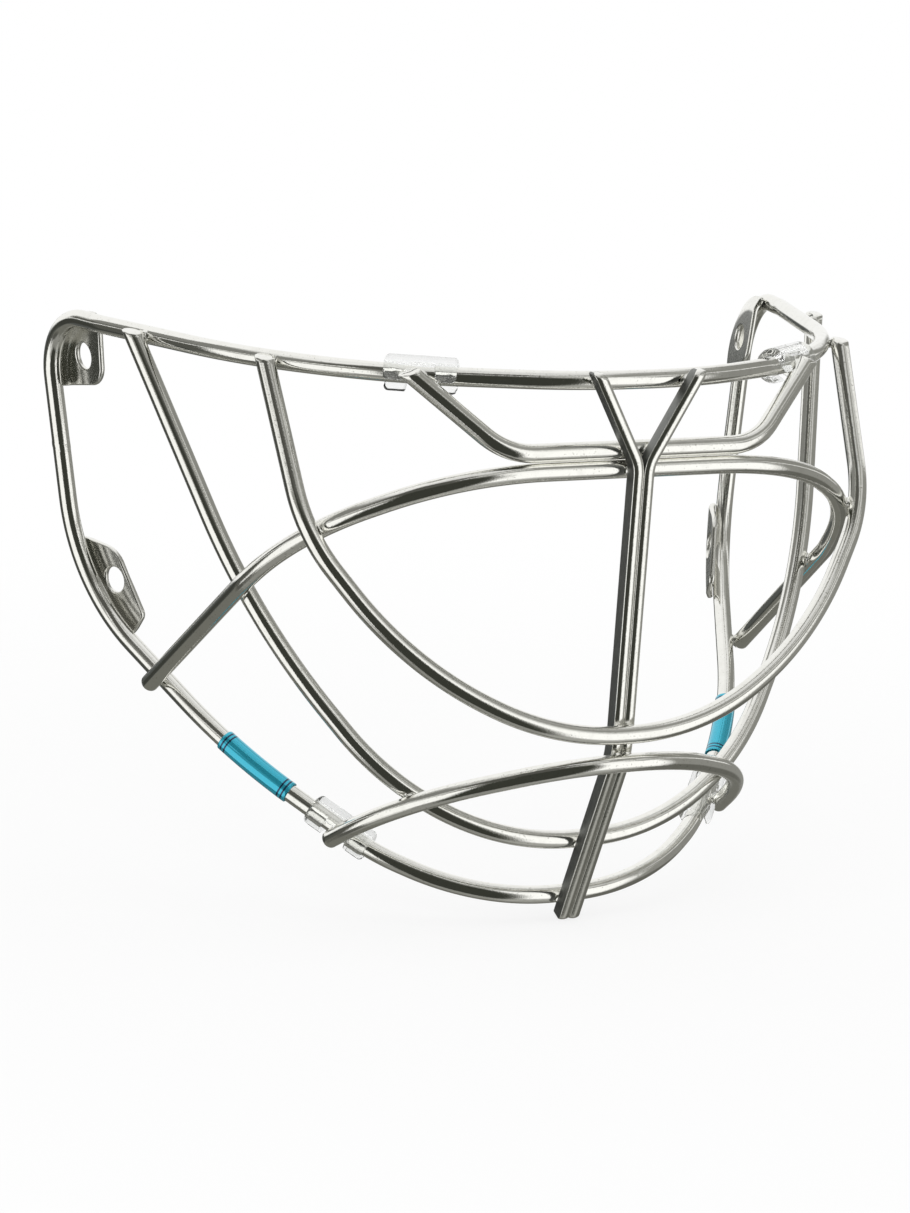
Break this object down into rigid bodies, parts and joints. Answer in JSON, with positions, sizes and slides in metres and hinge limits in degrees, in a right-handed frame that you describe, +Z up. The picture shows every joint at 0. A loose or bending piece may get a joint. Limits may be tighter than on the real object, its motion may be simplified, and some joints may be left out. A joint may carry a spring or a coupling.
{
  "type": "hockey goalie cage",
  "caption": "Welded wire face guard for a goalie mask: crossing bent wires, flat centre bars forked at the brow, mounting tabs, clear clips and blue label sleeves.",
  "frame": {"origin": "centre of the bounding box, on the middle plane", "axes": "+X across the guard to the viewer's right, -Y to the front, +Z up"},
  "size_m": [0.2286, 0.1444, 0.1577],
  "materials": {
    "wire_metal": "bright plated round steel wire",
    "bar_metal": "bright plated flat steel bar",
    "tab_metal": "bright plated steel sheet",
    "clear_plastic": "clear moulded plastic",
    "blue_film": "clear blue shrink film with plain dark bands"
  },
  "bodies": {
    "root": {"perimeter_wire": "wire_metal", "outer_u_wire": "wire_metal", "inner_u_wire": "wire_metal", "brow_wire": "wire_metal", "cross_wire": "wire_metal", "chin_wire": "wire_metal", "left_y_bar": "bar_metal", "right_y_bar": "bar_metal", "upper_left_tab": "tab_metal", "upper_right_tab": "tab_metal", "lower_left_tab": "tab_metal", "lower_right_tab": "tab_metal", "upper_left_clip": "clear_plastic", "upper_right_clip": "clear_plastic", "lower_left_clip": "clear_plastic", "lower_right_clip": "clear_plastic", "left_label_sleeve": "blue_film", "right_label_sleeve": "blue_film"}
  },
  "joints": []
}
